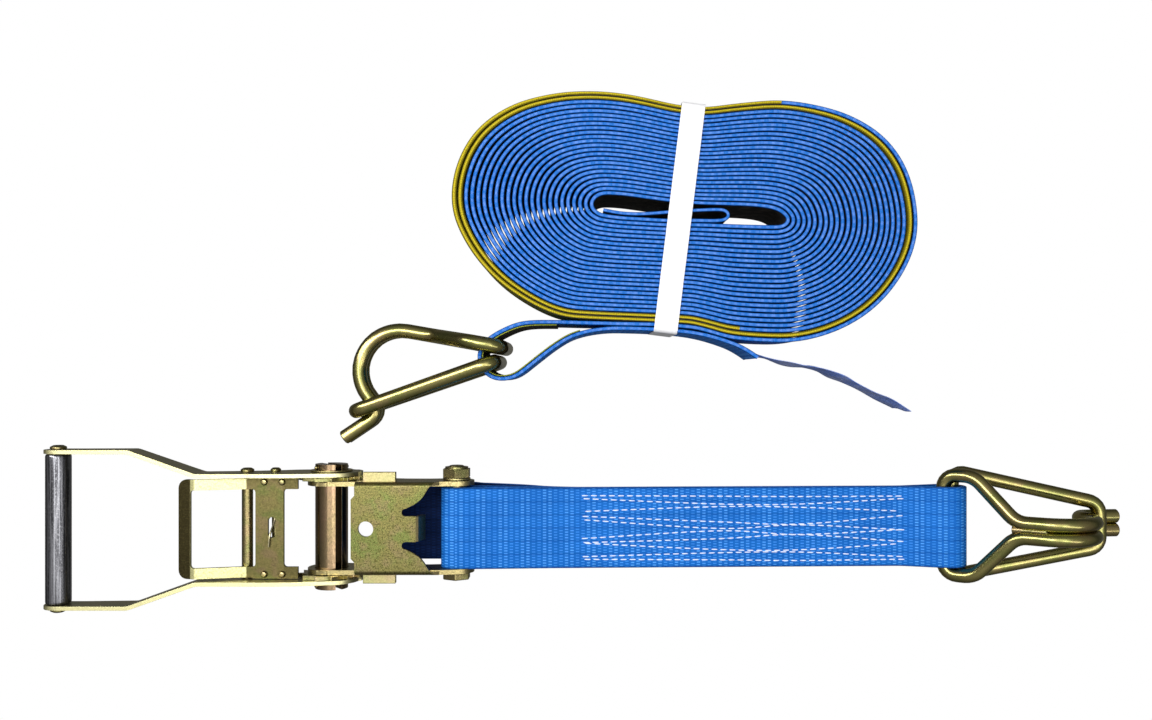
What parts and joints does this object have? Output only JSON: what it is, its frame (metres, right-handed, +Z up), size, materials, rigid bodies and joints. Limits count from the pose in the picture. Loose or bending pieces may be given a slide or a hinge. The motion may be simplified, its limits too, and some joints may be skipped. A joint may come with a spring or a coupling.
{
  "type": "ratchet tie down",
  "caption": "Ratchet tie-down set: a ratchet buckle with a short sewn strap and wire hook, and a long coiled strap with a matching hook.",
  "frame": {"origin": "on the ground, below the middle of the whole layout's box", "axes": "+X along the ratchet and its short strap towards the strap's hook, +Y from the ratchet towards the coiled long strap, +Z up"},
  "size_m": [0.6695, 0.3133, 0.0717],
  "materials": {
    "yellow_zinc_steel": "yellow zinc plated",
    "dark_zinc_steel": "dark yellow zinc plated",
    "polyester_webbing": "woven",
    "grip_sleeve": "dark plated tube",
    "band": "matte",
    "label": "thin printed tape without its print"
  },
  "bodies": {
    "ratchet_base": {"frame": "yellow_zinc_steel", "frame_pawl_spring": "yellow_zinc_steel", "anchor_bolt": "dark_zinc_steel", "anchor_washer": "yellow_zinc_steel", "anchor_nut": "dark_zinc_steel", "anchor_sleeve": "yellow_zinc_steel", "short_webbing": "polyester_webbing", "webbing_tail": "polyester_webbing"},
    "frame_pawl": {"frame_pawl": "yellow_zinc_steel"},
    "spindle": {"half_shaft_1": "dark_zinc_steel", "half_shaft_2": "dark_zinc_steel", "ratchet_wheel_left": "yellow_zinc_steel", "ratchet_wheel_right": "yellow_zinc_steel", "spindle_washer_left": "yellow_zinc_steel", "spindle_washer_right": "yellow_zinc_steel", "shaft_pin_1_left": "yellow_zinc_steel", "shaft_pin_1_right": "yellow_zinc_steel", "shaft_pin_2_left": "yellow_zinc_steel", "shaft_pin_2_right": "yellow_zinc_steel"},
    "handle": {"handle_arm_left": "yellow_zinc_steel", "handle_arm_right": "yellow_zinc_steel", "handle_grip": "grip_sleeve", "grip_rod": "dark_zinc_steel", "handle_crossbar": "dark_zinc_steel", "pawl_guide_pin": "dark_zinc_steel"},
    "drive_pawl": {"drive_pawl": "yellow_zinc_steel", "pawl_stud_1": "yellow_zinc_steel", "pawl_stud_2": "yellow_zinc_steel", "pawl_stud_3": "yellow_zinc_steel", "pawl_stud_4": "yellow_zinc_steel", "drive_pawl_spring": "yellow_zinc_steel"},
    "hook_a": {"double_j_hook_a": "yellow_zinc_steel"},
    "keeper_a": {"keeper_a": "yellow_zinc_steel"},
    "long_strap_coil": {"webbing_coil": "polyester_webbing", "webbing_end_loop": "polyester_webbing", "retaining_band": "band", "label_tape": "label"},
    "hook_b": {"double_j_hook_b": "yellow_zinc_steel"},
    "keeper_b": {"keeper_b": "yellow_zinc_steel"}
  },
  "joints": [
    {"name": "frame_pawl_slide", "type": "slide", "parent": "ratchet_base", "child": "frame_pawl", "axis": [1, 0, 0], "range_m": [-0.0045, 0], "stiffness_N_per_m": 900},
    {"name": "spindle_spin", "type": "hinge", "parent": "ratchet_base", "child": "spindle", "pos_m": [-0.1625, -0.1056, 0.0203], "axis": [0, 1, 0], "continuous": true},
    {"name": "handle_fold", "type": "hinge", "parent": "ratchet_base", "child": "handle", "pos_m": [-0.1625, -0.1056, 0.0203], "axis": [0, -1, 0], "range_deg": [0, 150]},
    {"name": "drive_pawl_slide", "type": "slide", "parent": "handle", "child": "drive_pawl", "axis": [1, 0, 0], "range_m": [-0.005, 0.003], "stiffness_N_per_m": 900},
    {"name": "hook_a_swing", "type": "hinge", "parent": "ratchet_base", "child": "hook_a", "pos_m": [0.2234, -0.1056, 0.0117], "axis": [0, -1, 0], "range_deg": [-90, 90]},
    {"name": "keeper_a_swing", "type": "hinge", "parent": "hook_a", "child": "keeper_a", "pos_m": [0.22705, -0.1056, 0.00873], "axis": [0, -1, 0], "range_deg": [0, 3.3]},
    {"name": "coil_lift", "type": "slide", "parent": "ratchet_base", "child": "long_strap_coil", "axis": [0, 0, 1], "range_m": [0, 0.3]},
    {"name": "hook_b_swing", "type": "hinge", "parent": "long_strap_coil", "child": "hook_b", "pos_m": [-0.0549, -0.0002, 0.0367], "axis": [0, 0, 1], "range_deg": [-45, 3]},
    {"name": "keeper_b_swing", "type": "hinge", "parent": "hook_b", "child": "keeper_b", "pos_m": [-0.05691, -0.00445, 0.0367], "axis": [0, 0, -1], "range_deg": [0, 3.3]}
  ]
}
